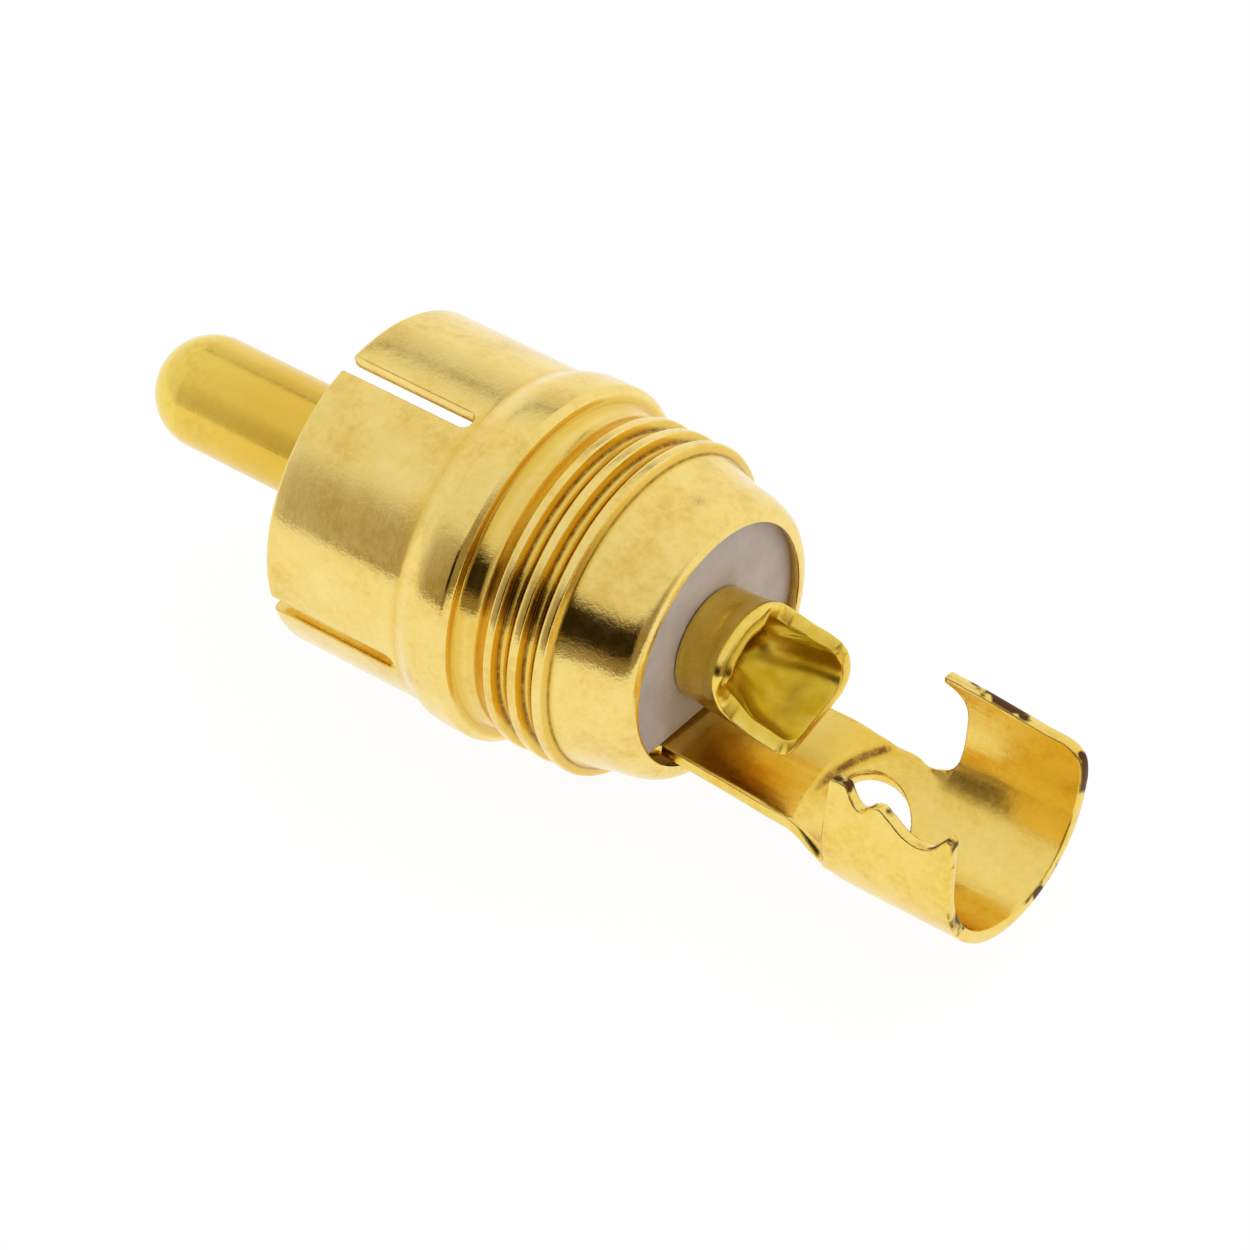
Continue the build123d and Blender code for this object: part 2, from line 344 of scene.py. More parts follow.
def finger_loop(x, side_a, side_b):
    """Closed section of one finger at x, between the slots at the two given angles."""
    nose = 1 - math.sqrt(1 - max(0.0, 1 - x / ring_edge) ** 2)
    outer = ring_radius - ring_edge * nose
    inner = ring_bore + ring_edge * nose
    slot_end = slot_length - slot_width / 2
    past = min(1.0, max(0.0, (x - slot_end) / (slot_width / 2)))
    half = slot_width / 2 * math.sqrt(1 - past**2)
    edge = min(slot_edge, half)

    def wall(slot, sign):
        """Corner and wall at one slot, from the outside to the inside."""
        points = []
        for radius, step_in in ((outer, 1), (inner, -1)):
            corner = []
            for turn in (0, 30, 60, 90):
                drop = edge * (1 - math.cos(math.radians(turn)))
                reach = edge * (1 - math.sin(math.radians(turn)))
                level = radius - step_in * drop
                corner.append(polar(x, level, slot + sign * math.asin((half + reach) / level)))
            points += corner if step_in == 1 else corner[::-1]
        return points

    def face(radius):
        swing = math.asin((half + edge) / radius)
        angles = [
            blend(side_a + swing, side_b - swing, step / finger_steps)
            for step in range(1, finger_steps)
        ]
        return [polar(x, radius, angle) for angle in angles]

    return wall(side_a, 1)[::-1] + face(outer) + wall(side_b, -1) + face(inner)[::-1]


def build_fingers(surface):
    """The ring's sprung fingers, from the front edge to the slots' round ends."""
    slot_end = slot_length - slot_width / 2
    stations = [ring_edge * (1 - math.cos(math.radians(a))) for a in range(0, 91, 15)]
    stations += [blend(ring_edge, slot_end, step / 12) for step in range(1, 13)]
    stations += [
        slot_end + slot_width / 2 * math.sin(math.radians(a)) for a in range(10, 91, 10)
    ]
    for count in range(slot_count):
        side_a = math.radians(slot_turn) + 2 * math.pi * count / slot_count
        side_b = side_a + 2 * math.pi / slot_count
        rows = surface.sweep([finger_loop(x, side_a, side_b) for x in stations], closed=True)
        # Front face: a strip between the outer and the inner edge, and a patch at each slot
        loop = rows[0]
        walls = 8
        outer = loop[walls - 1 : walls + finger_steps]
        inner = loop[2 * walls + finger_steps - 2 :] + loop[:1]
        surface.bridge(outer, inner[::-1])
        surface.faces.append(tuple(loop[:walls]))
        surface.faces.append(tuple(loop[walls + finger_steps - 1 : 2 * walls + finger_steps - 1]))


def thread_corners():
    """Corners of the three ridges: a broad land, a steep rear flank and a round root."""
    corners = []
    for turn in range(3):
        crest = first_crest + turn * thread_pitch
        if turn > 0:
            corners += [
                (crest - 0.44, root_radius, 0.06),
                (crest - 0.30, root_radius + 0.04, 0.08),
                (crest - 0.16, crest_radius - 0.03, 0.07),
            ]
        corners += [
            (crest - 0.08, crest_radius, 0.06),
            (crest + 0.12, crest_radius, 0.04),
            (crest + 0.20, root_radius + 0.02, 0.05),
        ]
    return corners


def shell_line():
    """Outer line from the slots' end to the rim, and on through the bore to the shoulder."""
    return rounded(
        [
            (slot_length, ring_radius, 0),
            (4.40, ring_radius, 0.25),
            (4.92, flange_radius, 0.35),
            (5.92, flange_radius, 0.06),
            (flange_back, flange_radius - 0.16, 0.04),
            (flange_back + 0.03, neck_radius + 0.21, 0.10),
            (6.62, neck_radius - 0.03, 0.24),
            (first_crest - 0.13, crest_radius - 0.03, 0.08),
        ]
        + thread_corners()
        + [
            (9.22, root_radius - 0.06, 0.16),
            (9.62, skirt_radius + 0.10, 0.25),
            (10.00, skirt_radius, 0.30),
            (shell_end - 0.62, rim_radius, 0.30),
            (shell_end - 0.10, rim_radius - 0.22, 0.30),
            (shell_end, rim_radius - 0.50, 0.14),
            (shell_end, rim_opening + 0.02, 0.07),
            (shell_end - 0.10, rim_opening, 0.05),
            (washer_back, rim_opening + 0.06, 0),
            (washer_back, skirt_bore, 0),
            (9.87, skirt_bore, 0),
            (9.42, thread_bore, 0),
            (shoulder, thread_bore, 0),
            (shoulder, ring_bore, 0),
            (slot_length, ring_bore, 0),
        ]
    )


def build_shell(material):
    surface = Surface()
    build_fingers(surface)
    lathe(surface, shell_line(), full_turn(slot_turn, slot_count * finger_steps))
    return make_piece(
        "shell_detail", surface, [material], "outer_shell", turned_part=True
    )


# Centre pin


def oblong_reach(angle, half_width, half_height, corner):
    """Distance from the middle of a rounded oblong to its outline in one direction."""
    across = abs(math.cos(angle))
    up = abs(math.sin(angle))
    if across > 0 and half_width * up / across <= half_height - corner:
        return half_width / across
    if up > 0 and half_height * across / up <= half_width - corner:
        return half_height / up
    side = half_width - corner
    top = half_height - corner
    along = side * across + top * up
    return along + math.sqrt(corner**2 - (side**2 + top**2 - along**2))


def mouth_point(angle, share, root, inset):
    """Point of the mouth's wall, share 0 at the round root and 1 at the squared end."""
    end = oblong_reach(
        angle, mouth_width / 2 - inset, mouth_height / 2 - inset, mouth_corner - inset / 2
    )
    reach = blend(root, end, share)
    across = reach * math.cos(angle)
    height = reach * math.sin(angle) - mouth_drop * share
    turn = math.radians(mouth_turn)
    return Vector(
        (
            blend(mouth_start, mouth_end, share),
            across * math.cos(turn) - height * math.sin(turn),
            across * math.sin(turn) + height * math.cos(turn),
        )
    )


def cut_height(point):
    """Height of a point in the frame that the mouth's top is cut in."""
    turn = math.radians(mouth_cut_turn)
    return point.z * math.cos(turn) - point.y * math.sin(turn)


def mouth_share(angle, root, inset):
    """How far along its length a line of the mouth's wall runs before the cut."""
    low, high = 0.0, 1.0
    for _ in range(24):
        middle = (low + high) / 2
        point = mouth_point(angle, middle, root, inset)
        if point.x < mouth_rim[0][0] or cut_height(point) < along_points(mouth_rim, point.x):
            low = middle
        else:
            high = middle
    return high


def mouth_angles():
    """Directions round the mouth, close together where its long side walls are cut."""
    angles = []
    for start, end, step in ((-16, 40, 1.0), (40, 174, 2.0), (174, 230, 1.0), (230, 344, 3.0)):
        count = round((end - start) / step)
        angles += [math.radians(blend(start, end, index / count)) for index in range(count)]
    return angles


def turned_about(angle):
    """Direction away from the axis at an angle measured in the mouth's own frame."""
    return polar(0, 1, angle + math.radians(mouth_turn))


def mouth_line(angle, root, inset, top):
    """Line along the mouth's wall in one direction, flared towards its lip."""
    flare = blend(lip_thinning, -lip_flare, top) if inset else blend(lip_flare, throat_flare, top)
    last = mouth_share(angle, root, inset)
    away = turned_about(angle)
    line = []
    for step in range(mouth_steps + 1):
        point = mouth_point(angle, last * step / mouth_steps, root, inset)
        swell = flare * ease(step / mouth_steps, 0.6, 1.0)
        if inset:
            swell -= mouth_dents * noise.noise(point * mouth_dent_scale)
            pinch = 1 - ease(point.x, pinch_start, pinch_end)
            pinch *= 1 - ease(math.sin(angle), -0.9, 0.9)
            reach = math.hypot(point.y, point.z)
            swell -= pinch * max(0.0, reach - pinch_bore)
        line.append(point + away * swell)
    return line


def mouth_lines(angle):
    """Outer line, rounded lip and inner line of the mouth's wall in one direction.

    Each point comes with its share of a rougher finish and painted olive shade: in full inside, in
    part on the lip and the tube's outside.
    """
    top = ease(math.sin(angle + math.radians(mouth_turn - mouth_cut_turn)), 0.45, 0.85)
    outer = mouth_line(angle, mouth_root_radius, 0, top)
    inner = mouth_line(angle, shank_bore, mouth_wall, top)
    middle = (outer[-1] + inner[-1]) / 2
    half = (outer[-1] - inner[-1]) / 2
    forward = (outer[-1] - outer[-3]).normalized() + (inner[-1] - inner[-3]).normalized()
    bulge = half.length * blend(0.25, 0.85, top)
    bulge *= 1 + lip_unevenness * noise.noise(middle * 1.7)
    lip = []
    for step in range(1, lip_steps):
        swing = math.pi * step / lip_steps
        off_crease = (swing - lip_crease_place * math.pi) / lip_crease_width
        dent = 1 - lip_crease * top * math.exp(-(off_crease**2))
        rise = forward.normalized() * bulge * math.sin(swing) * dent
        lip.append(middle + half * math.cos(swing) + rise)
    outside = [(point, tube_dull_and_shade) for point in outer[1:]]
    edge = [(point, ease(step, 2, 8) * 0.5) for step, point in enumerate(lip)]
    return outside + edge + [(point, 1.0) for point in inner[:0:-1]]


def build_pin(material):
    surface = Surface()
    dome = pin_radius - pin_reach
    tip = arc((dome, 0), pin_radius, 179.0, 90, 24)
    line = tip + rounded(
        [
            (dome, pin_radius, 0),
            (collar_front, pin_radius, 0.05),
            (collar_front + 0.13, collar_radius, 0.06),
            (bush_front, collar_radius, 0.02),
            (bush_front, shank_radius, 0),
            (washer_back + 0.03, shank_radius, 0),
            (washer_back + 0.03, mouth_root_radius, 0.03),
            (mouth_start, mouth_root_radius, 0),
        ]
    )
    angles = mouth_angles()
    turned = [angle + math.radians(mouth_turn) for angle in angles]
    rows = lathe(surface, line, turned)
    surface.faces.append(tuple(rows[0]))
    bore = rounded(
        [
            (mouth_start, shank_bore, 0),
            (bush_front, shank_bore, 0),
            (collar_front, pin_bore, 0),
            (dome, pin_bore, 0),
            (dome - 0.75, 0.02, 0),
        ]
    )
    rows = lathe(surface, bore, turned)
    surface.faces.append(tuple(rows[-1]))
    start = [polar(mouth_start, mouth_root_radius, angle) for angle in turned]
    end = [polar(mouth_start, shank_bore, angle) for angle in turned]
    rings = list(zip(*[mouth_lines(angle) for angle in angles]))
    plain = len(surface.points) + len(start)
    surface.sweep([start] + [[p for p, _dull_and_shade in ring] for ring in rings] + [end], closed=True)
    # Cut values here: share of a rougher finish and painted olive shade in the mouth
    surface.cut_and_shade_shares = [0.0] * plain + [dull_and_shade for ring in rings for _p, dull_and_shade in ring] + [1.0] * len(end)
    return make_piece(
        "pin_detail", surface, [material], "center_pin", 50.0, turned_part=True
    )


# Sheet parts, made as a flat blank


def resample(line, spacing):
    """Closed line with extra points on its long runs."""
    points = []
    for one, other in zip(line, line[1:] + line[:1]):
        parts = max(1, math.ceil((other - one).length / spacing))
        points += [one.lerp(other, part / parts) for part in range(parts)]
    return points


def inset(line, distance):
    """Closed line moved to its left by a small distance."""
    moved = []
    for before, here, after in zip(line[-1:] + line[:-1], line, line[1:] + line[:1]):
        first = (here - before).normalized()
        second = (after - here).normalized()
        normal = Vector((-first.y - second.y, first.x + second.x))
        moved.append(here + normal * distance / max(0.6, normal.length_squared / 2))
    return moved


def blank_surface(outline, holes, thickness, edge, bend, step, shade_mark=None):
    """Sheet cut to an outline and holes, with rounded edges, every point sent through bend.

    The outline runs anticlockwise and a hole clockwise, so left is always in the sheet.
    shade_mark gives the painted shade and painted reflection at a place on its blank.
    """
    work = bmesh.new()
    cut = work.verts.layers.float.new("cut")
    layers = []
    for drop, back in (
        (0, edge),
        (0.3 * edge, 0.3 * edge),
        (edge, 0),
        (thickness - edge, 0),
        (thickness - 0.3 * edge, 0.3 * edge),
        (thickness, edge),
    ):
        loops = []
        for line in (outline, *holes):
            moved = inset(line, back) if back else line
            loops.append([work.verts.new((p.x, p.y, -drop)) for p in moved])
            for vertex in loops[-1]:
                vertex[cut] = 1 - back / edge
        layers.append(loops)
    for upper, lower in zip(layers, layers[1:]):
        for one, other in zip(upper, lower):
            count = len(one)
            for index in range(count):
                follow = (index + 1) % count
                work.faces.new((one[index], one[follow], other[follow], other[index]))
    for loops in (layers[0], layers[-1]):
        edges = []
        for loop in loops:
            edges += [work.edges.get((a, b)) for a, b in zip(loop, loop[1:] + loop[:1])]
        bmesh.ops.triangle_fill(work, use_beauty=True, use_dissolve=False, edges=edges)
    cut_blank(work, step)
    surface = Surface()
    # Painted shade and painted reflection from shade_mark, kept as the hollow values
    if shade_mark:
        surface.hollows = [shade_mark(vertex.co.x, vertex.co.y) for vertex in work.verts]
    for vertex in work.verts:
        vertex.co = bend(vertex.co.x, vertex.co.y, -vertex.co.z)
    work.verts.index_update()
    surface.points = [vertex.co.copy() for vertex in work.verts]
    surface.cut_and_shade_shares = [vertex[cut] for vertex in work.verts]
    surface.faces = [tuple(v.index for v in face.verts) for face in work.faces]
    work.free()
    return surface


def cut_blank(work, step):
    """Cuts a flat blank into a fine grid, so that it can bend."""
    for axis in (0, 1):
        low = min(vertex.co[axis] for vertex in work.verts)
        high = max(vertex.co[axis] for vertex in work.verts)
        normal = Vector((1, 0, 0)) if axis == 0 else Vector((0, 1, 0))
        for count in range(1, math.ceil((high - low) / step)):
            bmesh.ops.bisect_plane(
                work,
                geom=work.verts[:] + work.edges[:] + work.faces[:],
                dist=1e-4,
                plane_co=normal * (low + count * step),
                plane_no=normal,
            )


def run_out(value, rounding):
    """Value that rises to 1 and stays there, with a rounded corner."""
    share = min(1.0, max(0.0, 0.5 + 0.5 * (1 - value) / rounding))
    return blend(1.0, value, share) - rounding * share * (1 - share)


def rolled(along, across, depth, level, radius, turn):
    """Point of sheet rolled to a radius over a quarter turn each way, then straight."""
    angle = max(-QUARTER, min(QUARTER, across / radius))
    y = (radius + depth) * math.sin(angle)
    z = level + radius - (radius + depth) * math.cos(angle)
    lift = z + abs(across) - abs(angle) * radius + barrel_drop
    return Vector(
        (
            along,
            y * math.cos(turn) - lift * math.sin(turn),
            y * math.sin(turn) + lift * math.cos(turn) - barrel_drop,
        )
    )


def crease_start(across):
    """Place along the blank of the bowed crease where the channel starts."""
    return channel_start + channel_bow * across**2


def crease_shade(along, across):
    """Painted shade in the crease, and a painted reflection of deeper yellow ahead of it on the far
    side.
    """
    ahead = along - crease_start(across)
    line = crease_shade_level * math.exp(-((ahead / crease_width) ** 2)) * ease(across, -1.3, 0.1)
    painted_yellow = far_reflection_level * ease(across, -0.6, 0.6) * ease(ahead, -2.2, -0.6)
    return max(line, painted_yellow * (1 - ease(ahead, -0.1, 0.1))) * (1 - ease(across, 1.9, 2.3))


def bend_lug(along, across, depth):
    """Point of the lug for a place on its blank and a depth below its upper face."""
    bend_x = washer_front + lug_bend
    bend_z = lug_bend - tang_drop
    bend_start = bend_x - QUARTER * lug_bend
    if along < bend_start:
        return Vector((washer_front - depth, across, bend_z + bend_start - along))
    if along < bend_x:
        angle = (along - bend_start) / lug_bend
        reach = lug_bend + depth
        return Vector(
            (bend_x - reach * math.cos(angle), across, bend_z - reach * math.sin(angle))
        )
    # Tang, then a channel that starts at a bowed crease and deepens into the barrel's floor
    start = crease_start(across)
    share = run_out(
        channel_steepness * max(0.0, along - start) / max(0.5, channel_end - start), 0.35
    )
    slope = math.tan(math.radians(tang_slope))
    floor = -barrel_drop - barrel_bore
    level = blend(-tang_drop - slope * (along - washer_front), floor, share)
    level -= crease_depth * math.exp(-(((along - start) / crease_width) ** 2))
    radius = 1 / blend(tang_curve, 1 / barrel_bore, share)
    turn = math.radians(barrel_turn)
    channel = rolled(
        along, across, depth, level, radius, turn * ease(along, turn_start, turn_end)
    )
    if along < turn_end:
        return channel
    barrel = rolled(along, across, depth, floor, barrel_bore, turn)
    wing = ease(abs(across), wing_foot, wing_root) * ease(along, turn_end, near_front - 0.3)
    return channel.lerp(barrel, max(wing, ease(along, near_front, channel_end)))


def lug_outline():
    """The lug's blank: seat ring, tang, near wing with its teeth, and far wing with its barb."""
    quarter_wrap = QUARTER * barrel_bore
    near_top = quarter_wrap + near_wall
    far_top = quarter_wrap + far_wall
    join = math.degrees(math.asin(tang_half_width / lug_ring_radius))
    ring = arc((seat_middle(), 0), lug_ring_radius, join, 360 - join, 72)
    near = rounded(
        [
            (10.4, -tang_half_width, 0),
            (13.2, -tang_half_width - 0.02, 0.6),
            (15.0, -2.08, 0.9),
            (16.20, -2.16, 0.2),
            (near_front - 0.08, -2.75, 0.10),
            (near_front - 0.02, -4.2, 0.5),
            (near_front + 0.05, -near_top + 0.14, 0.07),
            (near_front + 0.30, -near_top + 0.06, 0.10),
            (near_front + 0.56, -near_top + 0.08, 0.08),
            (near_front + 0.72, -near_top + 0.40, 0.14),
            (near_front + 0.92, -near_top + 0.62, 0.14),
            (near_front + 1.12, -near_top + 0.62, 0.12),
            (near_front + 1.36, -near_top + 0.34, 0.14),
            (near_front + 1.60, -near_top + 0.26, 0.12),
            (near_front + 1.88, -near_top + 0.44, 0.20),
            (near_front + 2.38, -near_top + 0.78, 0.28),
            (near_front + 2.90, -near_top + 0.84, 0.25),
            (near_front + 3.26, -near_top + 0.66, 0.20),
            (near_front + 3.50, -near_top + 0.34, 0.12),
            (near_front + 3.64, -near_top + 0.18, 0.06),
            (near_front + 3.80, -near_top + 0.26, 0.06),
            (barrel_back - 0.08, -quarter_wrap, 0.5),
            (barrel_back, 0, 0.5),
            (barrel_back + 0.09, quarter_wrap, 0.5),
            (barrel_back + 0.12, far_top - 1.05, 0.45),
            (barrel_back + 0.02, far_top - 0.50, 0.25),
            (barrel_back - 0.34, far_top - 0.24, 0.30),
            (barrel_back - 0.90, far_top - 0.20, 0.20),
        ]
    )
    far = rounded(
        [
            (barrel_back - 1.2, far_top - 0.19, 0),
            (far_front + 0.4, far_top - 0.02, 0.4),
            (16.22, far_top + 0.03, 0.06),
            (16.12, far_top - 0.04, 0.05),
            (16.20, far_top - 0.16, 0.06),
            (16.70, far_top - 0.28, 0.30),
            (far_front, far_top - 0.62, 0.35),
            (far_front, 3.55, 0.8),
            (far_front - 0.08, 3.05, 0.35),
            (far_front - 0.55, 2.82, 0.35),
            (16.10, 2.62, 0.3),
            (15.0, 2.13, 0.9),
            (13.2, tang_half_width + 0.02, 0.6),
            (10.4, tang_half_width, 0),
        ]
    )
    return resample(near + far + ring, 0.16)


def seat_middle():
    """Place along the blank of the middle of the seat ring."""
    return washer_front + lug_bend - QUARTER * lug_bend - (tang_drop - lug_bend)


def build_lug(material):
    hole = [
        Vector((hole_centre[0] + p.x * hole_along, hole_centre[1] + p.y * hole_across))
        for p in arc((0, 0), 1, 360, 0, 60)[:-1]
    ]
    bore = arc((seat_middle(), 0), lug_ring_bore, 360, 0, 72)[:-1]
    surface = blank_surface(
        lug_outline(), [hole, bore], lug_sheet, lug_edge, bend_lug, blank_step, crease_shade
    )
    # Only the barrel's edges are torn
    surface.cut_and_shade_shares = [
        cut * ease(point.x, near_front - 0.6, near_front)
        for cut, point in zip(surface.cut_and_shade_shares, surface.points)
    ]
    return make_piece("lug_detail", surface, [material], "ground_lug", 60.0)


def build_washer(material):
    """Rear washer: a disc with a flat below and a round hole for the pin."""
    half_flat = math.degrees(math.acos(washer_flat / washer_radius))
    # Blank across the plug: first axis y, second axis z
    outline = arc((0, 0), washer_radius, -90 + half_flat, 270 - half_flat, 120)
    hole = arc((0, 0), washer_bore, 360, 0, 72)[:-1]

    def place(y, z, depth):
        return Vector((washer_back - depth, y, z))

    surface = blank_surface(
        resample(outline, 0.3), [hole], washer_back - washer_front, washer_edge, place, 0.8
    )
    return make_piece("washer_detail", surface, [material], "rear_washer")


def build_bush(material):
    """White bush: a turned moulding, its flange seated behind the ring."""
    line = rounded(
        [
            (bush_front, shank_radius + 0.03, 0),
            (bush_front, ring_bore - 0.03, 0.18),
            (shoulder, ring_bore - 0.03, 0.04),
            (shoulder, thread_bore - 0.03, 0),
            (9.39, thread_bore - 0.03, 0),
            (9.84, skirt_bore - 0.03, 0),
            (washer_front - lug_sheet, skirt_bore - 0.03, 0),
            (washer_front - lug_sheet, bush_nose_radius, 0),
            (washer_front, bush_nose_radius, 0),
            (washer_front, shank_radius + 0.03, 0),
            (bush_front, shank_radius + 0.03, 0),
        ]
    )
    surface = Surface()
    lathe(surface, line, full_turn(0, 144))
    return make_piece("bush_detail", surface, [material], "insulating_bush")


# Materials


class Nodes:
    """Short calls for building a material's node tree."""

    def __init__(self, name):
        self.material = bpy.data.materials.new(name)
        self.material.use_nodes = True
        self.tree = self.material.node_tree
        self.shader = self.tree.nodes["Principled BSDF"]
        coordinates = self.tree.nodes.new("ShaderNodeTexCoord")
        self.place = coordinates.outputs["Object"]

    def link(self, output, socket):
        self.tree.links.new(output, socket)

    def noise(self, scale, detail=3.0, roughness=0.6, stretch=(1, 1, 1)):
        """Noise with features of 1 / scale millimetres, drawn out along the small stretches."""
        mapping = self.tree.nodes.new("ShaderNodeMapping")
        mapping.inputs["Scale"].default_value = [scale / MM * s for s in stretch]
        self.link(self.place, mapping.inputs["Vector"])
        node = self.tree.nodes.new("ShaderNodeTexNoise")
        node.inputs["Scale"].default_value = 1.0
        node.inputs["Detail"].default_value = detail
        node.inputs["Roughness"].default_value = roughness
        self.link(mapping.outputs["Vector"], node.inputs["Vector"])
        return node.outputs["Fac"]

    def spread(self, value, low, high, start=0.3, end=0.7):
        """Number from low to high as value goes from start to end."""
        node = self.tree.nodes.new("ShaderNodeMapRange")
        node.inputs["From Min"].default_value = start
        node.inputs["From Max"].default_value = end
        node.inputs["To Min"].default_value = low
        node.inputs["To Max"].default_value = high
        self.link(value, node.inputs["Value"])
        return node.outputs["Result"]

    def colours(self, value, stops):
        """Colour from a ramp of (place, colour) stops."""
        node = self.tree.nodes.new("ShaderNodeValToRGB")
        ramp = node.color_ramp
        ramp.elements[0].position, ramp.elements[1].position = stops[0][0], stops[-1][0]
        ramp.elements[0].color = (*stops[0][1], 1)
        ramp.elements[1].color = (*stops[-1][1], 1)
        for place, colour in stops[1:-1]:
            ramp.elements.new(place).color = (*colour, 1)
        self.link(value, node.inputs["Fac"])
        return node.outputs["Color"]

    def attribute(self, name):
        node = self.tree.nodes.new("ShaderNodeAttribute")
        node.attribute_name = name
        return node.outputs["Fac"]

    def mix(self, share, one, colour):
        """Colour one, turned into a fixed colour by a share."""
        node = self.tree.nodes.new("ShaderNodeMix")
        node.data_type = "RGBA"
        node.inputs["B"].default_value = (*colour, 1)
        self.link(share, node.inputs["Factor"])
        self.link(one, node.inputs["A"])
        return node.outputs["Result"]

    def math(self, operation, one, other):
        node = self.tree.nodes.new("ShaderNodeMath")
        node.operation = operation
        for socket, value in zip(node.inputs, (one, other)):
            if isinstance(value, (int, float)):
                socket.default_value = value
            else:
                self.link(value, socket)
        return node.outputs["Value"]

    def bump(self, layers):
        """Chain of bumps, each a (height, depth in millimetres) pair."""
        normal = None
        for height, depth in layers:
            node = self.tree.nodes.new("ShaderNodeBump")
            node.inputs["Strength"].default_value = 1.0
            node.inputs["Distance"].default_value = depth * MM
            self.link(height, node.inputs["Height"])
            if normal is not None:
                self.link(normal, node.inputs["Normal"])
            normal = node.outputs["Normal"]
        self.link(normal, self.shader.inputs["Normal"])


# Gold plate: a deep, a middle and a light tone
SHELL_TONES = ((0.78, 0.54, 0.12), (0.89, 0.67, 0.20), (0.93, 0.73, 0.26))
PIN_TONES = ((0.74, 0.51, 0.08), (0.87, 0.64, 0.12), (0.90, 0.68, 0.16))
LUG_TONES = ((0.80, 0.53, 0.09), (0.89, 0.65, 0.15), (0.92, 0.71, 0.22))
# Painted reflection: deep yellow in hollows. Painted shade: brown in tight grooves. Brown of torn
# metal. Painted olive shade on the mouth's tube and inside.
HOLLOW_REFLECTION = (0.78, 0.50, 0.06)
GROOVE_SHADE = (0.22, 0.10, 0.02)
TORN = (0.10, 0.045, 0.012)
MOUTH_SHADE = (0.64, 0.42, 0.015)


def plated(
    name, tones, lines, smooth, grain_depth, streak_depth=0.0, cut_and_shade_colour=TORN, patches=(0.54, 0.59)
):
    """Gold plate on pressed or turned brass.

    lines is the stretch of its fine working marks, and patches the range of a noise over
    which cut_and_shade_colour takes over: on cut edges as torn metal, and in the pin's mouth as
    painted olive shade.
    """
    nodes = Nodes(name)
    shader = nodes.shader
    shader.inputs["Metallic"].default_value = 1.0
    cloud = nodes.noise(0.55, detail=4.0, roughness=0.65)
    mottle = nodes.noise(4.0, detail=4.0, roughness=0.75)
    grain = nodes.noise(12.0, detail=2.0, roughness=0.7)
    marks = nodes.noise(7.0, detail=3.0, roughness=0.7, stretch=lines)
    streaks = nodes.noise(1.5, detail=2.0, roughness=0.5, stretch=lines)
    tear = nodes.noise(0.8, detail=3.0, roughness=0.6)
    shade = nodes.math("ADD", nodes.spread(cloud, 0.0, 0.6), nodes.spread(mottle, 0.0, 0.4))
    plate = nodes.colours(shade, [(0.15, tones[0]), (0.50, tones[1]), (0.85, tones[2])])
    # Painted reflection: deeper yellow in the hollows. Painted shade: brown in tight grooves. In
    # patches on the cut edges torn metal, and in the pin's mouth painted olive shade.
    hollow = nodes.attribute("hollow")
    plate = nodes.mix(nodes.spread(hollow, 0.0, 0.8, 0.02, 0.20), plate, HOLLOW_REFLECTION)
    groove_shade_share = nodes.math("MULTIPLY", nodes.spread(hollow, 0.0, 1.0, 0.30, 0.70), mottle)
    plate = nodes.mix(nodes.math("MULTIPLY", groove_shade_share, 1.7), plate, GROOVE_SHADE)
    # The cut attribute gives torn metal on the lug's edges and painted olive shade in the pin's
    # mouth
    torn_and_shade = nodes.math("MULTIPLY", nodes.attribute("cut"), nodes.spread(tear, 0.0, 1.0, *patches))
    nodes.link(nodes.mix(torn_and_shade, plate, cut_and_shade_colour), shader.inputs["Base Color"])
    haze = nodes.spread(cloud, smooth, smooth + 0.08, 0.35, 0.65)
    rough = nodes.math("ADD", haze, nodes.spread(mottle, -0.03, 0.05))
    rough = nodes.math("ADD", rough, nodes.math("MULTIPLY", torn_and_shade, 0.25))
    nodes.link(nodes.math("MAXIMUM", rough, 0.04), shader.inputs["Roughness"])
    nodes.bump(
        [
            (marks, 0.7 * grain_depth),
            (grain, grain_depth),
            (mottle, 1.3 * grain_depth),
            (streaks, streak_depth),
            (cloud, 0.006),
        ]
    )
    return nodes.material


def moulded(name, light, dark, grain_depth, roughness):
    """Matt moulded plastic with a fine mottle."""
    nodes = Nodes(name)
    shader = nodes.shader
    shader.inputs["Specular IOR Level"].default_value = 0.35
    cloud = nodes.noise(0.8, detail=4.0)
    grain = nodes.noise(12.0, detail=2.0)
    nodes.link(nodes.colours(cloud, [(0.3, dark), (0.7, light)]), shader.inputs["Base Color"])
    nodes.link(
        nodes.spread(grain, roughness - 0.08, roughness + 0.08), shader.inputs["Roughness"]
    )
    nodes.bump([(grain, grain_depth), (cloud, 0.01)])
    return nodes.material


# Stage

# Cards: name, radius, span and rise in degrees, fades of ends and top, opacity, glow
CARDS = (
    ("brown_card", 65, (-150, 24), (-5, 42), (46, 20), 0.92, (0.30, 0.22, 0.11)),
    ("dark_card", 60, (-110, -48), (1, 35), (10, 9), 0.98, (0.02, 0.012, 0.005)),
    ("foot_card", 64, (-134, 10), (-5, -2), (12, 1), 0.8, (0.12, 0.07, 0.02)),
    ("far_card", 70, (96, 160), (16, 62), (30, 20), 0.30, (0.30, 0.25, 0.18)),
    ("thin_card", 68, (98, 158), (40.6, 43.6), (16, 0.8), 0.97, (0.06, 0.03, 0.01)),
)


